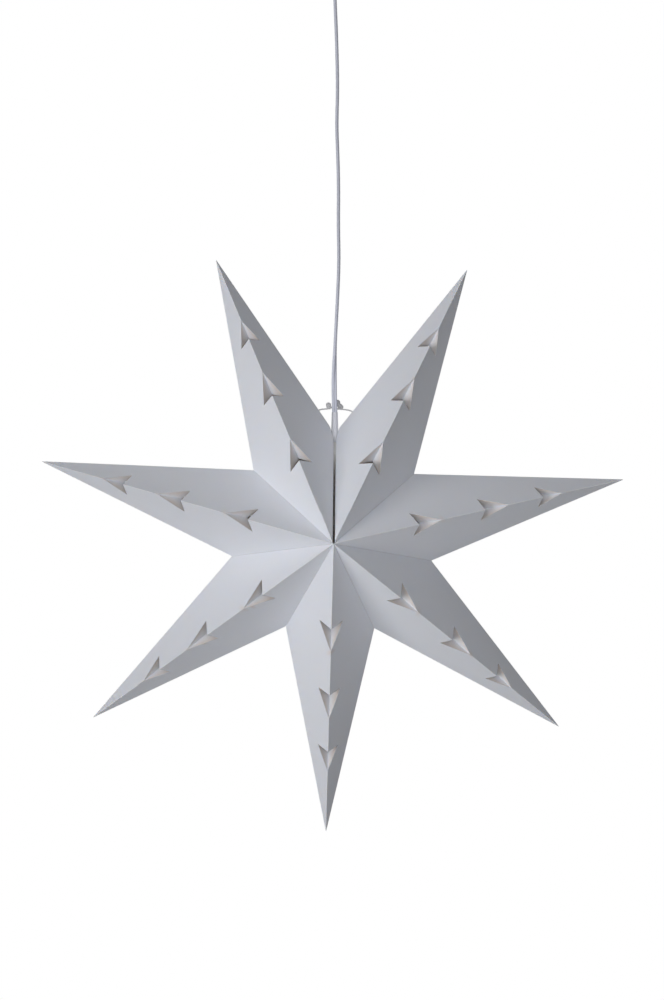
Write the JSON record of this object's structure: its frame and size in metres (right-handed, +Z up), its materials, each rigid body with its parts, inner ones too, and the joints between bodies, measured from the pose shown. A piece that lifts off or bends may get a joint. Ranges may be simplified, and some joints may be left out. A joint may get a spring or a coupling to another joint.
{
  "type": "paper star pendant",
  "caption": "Hanging paper star lantern with folded hollow points that close like a fan, on a flat flex with a lamp holder, bulb and swivel ceiling cup.",
  "frame": {"origin": "on the ceiling, in the middle of the bracket's upper face", "axes": "+Z up, the front of the star faces -Y, +X to the right seen from the front"},
  "size_m": [0.5849, 0.1598, 0.9399],
  "materials": {
    "star_board": "matt white board",
    "tie_string": "twisted cotton",
    "flex_sheath": "soft white sheath",
    "holder_plastic": "moulded",
    "insulating_core": "matt",
    "brass": "stamped",
    "lamp_cap_metal": "rolled",
    "black_glass": "fired",
    "bulb_plastic": "moulded",
    "opal_globe": "opal",
    "led_board_white": "coated",
    "cup_plastic": "satin moulded",
    "zinc_steel": "zinc plated",
    "terminal_plastic": "moulded",
    "core_insulation": "soft"
  },
  "bodies": {
    "ceiling_fitting": {"ceiling_bracket": "zinc_steel", "ceiling_cup": "cup_plastic", "cup_screws": "zinc_steel", "socket_ring": "cup_plastic", "terminal_block": "terminal_plastic", "terminal_screws": "brass", "bared_cores": "core_insulation"},
    "swivel": {"swivel_ball": "holder_plastic", "grip_screw": "zinc_steel"},
    "drop": {"flex": "flex_sheath", "cord_sleeve": "flex_sheath", "holder_cap": "holder_plastic", "holder_shell": "holder_plastic", "holder_insert": "insulating_core", "screw_shell": "brass", "centre_contact": "brass", "bulb_cap": "lamp_cap_metal", "bulb_insulator": "black_glass", "bulb_contact": "lamp_cap_metal", "bulb_collar": "bulb_plastic", "bulb_globe": "opal_globe", "led_board": "led_board_white"},
    "star": {"point_bottom": "star_board"},
    "fold_lower_right": {"point_lower_right": "star_board"},
    "fold_right": {"point_right": "star_board"},
    "fold_upper_right": {"point_upper_right": "star_board", "tie_string_right": "tie_string"},
    "fold_lower_left": {"point_lower_left": "star_board"},
    "fold_left": {"point_left": "star_board"},
    "fold_upper_left": {"point_upper_left": "star_board", "tie_string_left": "tie_string"}
  },
  "joints": [
    {"name": "swing_side", "type": "hinge", "parent": "ceiling_fitting", "child": "swivel", "pos_m": [0, 0, -0.046], "axis": [0, 1, 0], "range_deg": [-15, 15]},
    {"name": "swing_front", "type": "hinge", "parent": "swivel", "child": "drop", "pos_m": [0, 0, -0.046], "axis": [1, 0, 0], "range_deg": [-15, 15]},
    {"name": "star_turn", "type": "hinge", "parent": "drop", "child": "star", "pos_m": [0, 0, -0.545], "axis": [0, 0, 1], "continuous": true},
    {"name": "unfold_upper_right", "type": "hinge", "parent": "star", "child": "fold_upper_right", "pos_m": [-0.00254, 0, -0.64], "axis": [0, 1, 0], "range_deg": [0, 142.29], "deforming": ["point_upper_right", "tie_string_right", "point_bottom"]},
    {"name": "unfold_right", "type": "hinge", "parent": "star", "child": "fold_right", "pos_m": [-0.00254, 0, -0.64], "axis": [0, 1, 0], "range_deg": [0, 94.86], "deforming": ["point_right"]},
    {"name": "unfold_lower_right", "type": "hinge", "parent": "star", "child": "fold_lower_right", "pos_m": [-0.00254, 0, -0.64], "axis": [0, 1, 0], "range_deg": [0, 47.43], "deforming": ["point_lower_right"]},
    {"name": "unfold_lower_left", "type": "hinge", "parent": "star", "child": "fold_lower_left", "pos_m": [-0.00254, 0, -0.64], "axis": [0, -1, 0], "range_deg": [0, 47.43], "deforming": ["point_lower_left"]},
    {"name": "unfold_left", "type": "hinge", "parent": "star", "child": "fold_left", "pos_m": [-0.00254, 0, -0.64], "axis": [0, -1, 0], "range_deg": [0, 94.86], "deforming": ["point_left"]},
    {"name": "unfold_upper_left", "type": "hinge", "parent": "star", "child": "fold_upper_left", "pos_m": [-0.00254, 0, -0.64], "axis": [0, -1, 0], "range_deg": [0, 142.29], "deforming": ["point_upper_left", "tie_string_left"]}
  ],
  "couplings": [
    {"joint": "unfold_right", "follows": "unfold_upper_right", "ratio": 0.66667},
    {"joint": "unfold_lower_right", "follows": "unfold_upper_right", "ratio": 0.33333},
    {"joint": "unfold_lower_left", "follows": "unfold_upper_right", "ratio": 0.33333},
    {"joint": "unfold_left", "follows": "unfold_upper_right", "ratio": 0.66667},
    {"joint": "unfold_upper_left", "follows": "unfold_upper_right", "ratio": 1}
  ]
}
